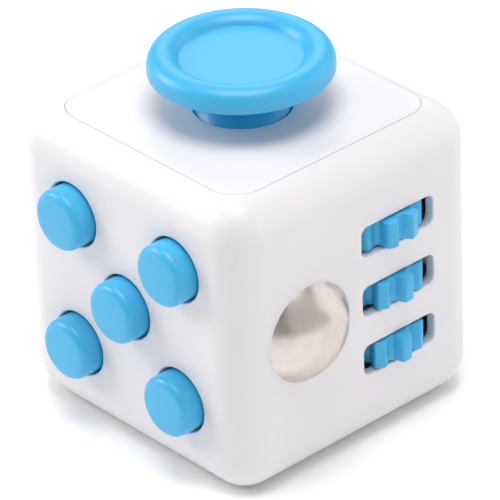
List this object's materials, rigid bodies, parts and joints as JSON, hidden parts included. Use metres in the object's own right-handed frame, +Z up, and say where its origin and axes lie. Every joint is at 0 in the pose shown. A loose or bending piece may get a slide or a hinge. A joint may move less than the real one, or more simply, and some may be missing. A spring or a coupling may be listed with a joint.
{
  "type": "fidget cube",
  "caption": "Palm-sized rounded toy cube with press buttons, a rolling ball, gears, a tilting joystick, a dial, a rocker switch and a thumb dent, one toy on each face.",
  "frame": {"origin": "middle of the bottom face, on the surface the cube stands on", "axes": "+Z up through the joystick, -Y out of the five-button face, +X out of the ball-and-gear face"},
  "size_m": [0.038, 0.0373, 0.0393],
  "materials": {
    "white_abs": "satin moulded ABS",
    "blue_abs": "satin moulded ABS",
    "acetal": "natural moulded acetal",
    "board": "glass-epoxy board",
    "polished_steel": "polished bearing steel",
    "steel_hardware": "plated steel",
    "spring_wire": "drawn spring wire",
    "silicone": "silicone rubber"
  },
  "bodies": {
    "body": {"body_shell": "white_abs", "top_cover": "white_abs", "bottom_cover": "white_abs", "click_plate": "acetal", "switch_board": "board", "snap_domes": "steel_hardware", "silent_pads": "silicone", "click_screws": "steel_hardware", "roll_frame": "acetal", "roll_screws": "steel_hardware", "gear_axle": "steel_hardware", "rocker_cradle": "acetal", "rocker_pin": "steel_hardware", "rocker_screws": "steel_hardware", "joystick_base": "acetal", "joystick_screws": "steel_hardware", "spring_upper_left": "spring_wire", "spring_upper_right": "spring_wire", "spring_centre": "spring_wire", "spring_lower_left": "spring_wire", "spring_lower_right": "spring_wire", "ball_spring": "spring_wire", "stick_spring": "spring_wire", "plunger_spring": "spring_wire"},
    "button_upper_left": {"button_upper_left": "blue_abs"},
    "button_upper_right": {"button_upper_right": "blue_abs"},
    "button_centre": {"button_centre": "blue_abs"},
    "button_lower_left": {"button_lower_left": "blue_abs"},
    "button_lower_right": {"button_lower_right": "blue_abs"},
    "gear_bottom": {"gear_bottom": "blue_abs"},
    "gear_middle": {"gear_middle": "blue_abs"},
    "gear_top": {"gear_top": "blue_abs"},
    "ball_carriage": {"ball_cup": "acetal"},
    "ball": {"steel_ball": "polished_steel"},
    "gimbal": {"gimbal_ring": "acetal", "gimbal_pins": "steel_hardware"},
    "stick": {"joystick_stem": "blue_abs", "joystick_cap": "blue_abs", "stem_pin": "steel_hardware"},
    "rocker": {"rocker": "blue_abs"},
    "plunger": {"rocker_plunger": "acetal"},
    "dial": {"dial": "blue_abs", "dial_keeper": "acetal", "friction_washer": "steel_hardware", "dial_screw": "steel_hardware"}
  },
  "joints": [
    {"name": "button_upper_left_press", "type": "slide", "parent": "body", "child": "button_upper_left", "axis": [0, 1, 0], "range_m": [0, 0.0012], "stiffness_N_per_m": 500, "springref_m": -0.0005, "deforming": ["spring_upper_left"]},
    {"name": "button_upper_right_press", "type": "slide", "parent": "body", "child": "button_upper_right", "axis": [0, 1, 0], "range_m": [0, 0.0012], "stiffness_N_per_m": 500, "springref_m": -0.0005, "deforming": ["spring_upper_right"]},
    {"name": "button_centre_press", "type": "slide", "parent": "body", "child": "button_centre", "axis": [0, 1, 0], "range_m": [0, 0.0012], "stiffness_N_per_m": 500, "springref_m": -0.0005, "deforming": ["spring_centre"]},
    {"name": "button_lower_left_press", "type": "slide", "parent": "body", "child": "button_lower_left", "axis": [0, 1, 0], "range_m": [0, 0.0012], "stiffness_N_per_m": 500, "springref_m": -0.0005, "deforming": ["spring_lower_left"]},
    {"name": "button_lower_right_press", "type": "slide", "parent": "body", "child": "button_lower_right", "axis": [0, 1, 0], "range_m": [0, 0.0012], "stiffness_N_per_m": 500, "springref_m": -0.0005, "deforming": ["spring_lower_right"]},
    {"name": "gear_bottom_spin", "type": "hinge", "parent": "body", "child": "gear_bottom", "pos_m": [0.0127, 0.00525, 0.00965], "axis": [0, 0, 1], "continuous": true},
    {"name": "gear_middle_spin", "type": "hinge", "parent": "body", "child": "gear_middle", "pos_m": [0.0127, 0.00525, 0.0165], "axis": [0, 0, 1], "continuous": true},
    {"name": "gear_top_spin", "type": "hinge", "parent": "body", "child": "gear_top", "pos_m": [0.0127, 0.00525, 0.02335], "axis": [0, 0, 1], "continuous": true},
    {"name": "ball_press", "type": "slide", "parent": "body", "child": "ball_carriage", "axis": [-1, 0, 0], "range_m": [0, 0.0006], "stiffness_N_per_m": 800, "springref_m": -0.0005, "deforming": ["ball_spring"]},
    {"name": "ball_roll", "type": "hinge", "parent": "ball_carriage", "child": "ball", "pos_m": [0.0126, -0.0069, 0.0165], "axis": [0, 0, 1], "continuous": true},
    {"name": "stick_tilt_side", "type": "hinge", "parent": "body", "child": "gimbal", "pos_m": [0, 0, 0.0286], "axis": [1, 0, 0], "range_deg": [-12, 12], "stiffness_Nm_per_rad": 0.01, "deforming": ["stick_spring"]},
    {"name": "stick_tilt_front", "type": "hinge", "parent": "gimbal", "child": "stick", "pos_m": [0, 0, 0.0286], "axis": [0, 1, 0], "range_deg": [-12, 12], "stiffness_Nm_per_rad": 0.01, "deforming": ["stick_spring"]},
    {"name": "rocker_flip", "type": "hinge", "parent": "body", "child": "rocker", "pos_m": [-0.0137, 0, 0.0165], "axis": [0, 1, 0], "range_deg": [0, 20]},
    {"name": "plunger_slide", "type": "slide", "parent": "body", "child": "plunger", "axis": [1, 0, 0], "range_m": [0, 0.0005], "stiffness_N_per_m": 300, "springref_m": -0.0003, "deforming": ["plunger_spring"]},
    {"name": "dial_spin", "type": "hinge", "parent": "body", "child": "dial", "pos_m": [0, 0.0165, 0.0165], "axis": [0, 1, 0], "continuous": true}
  ]
}
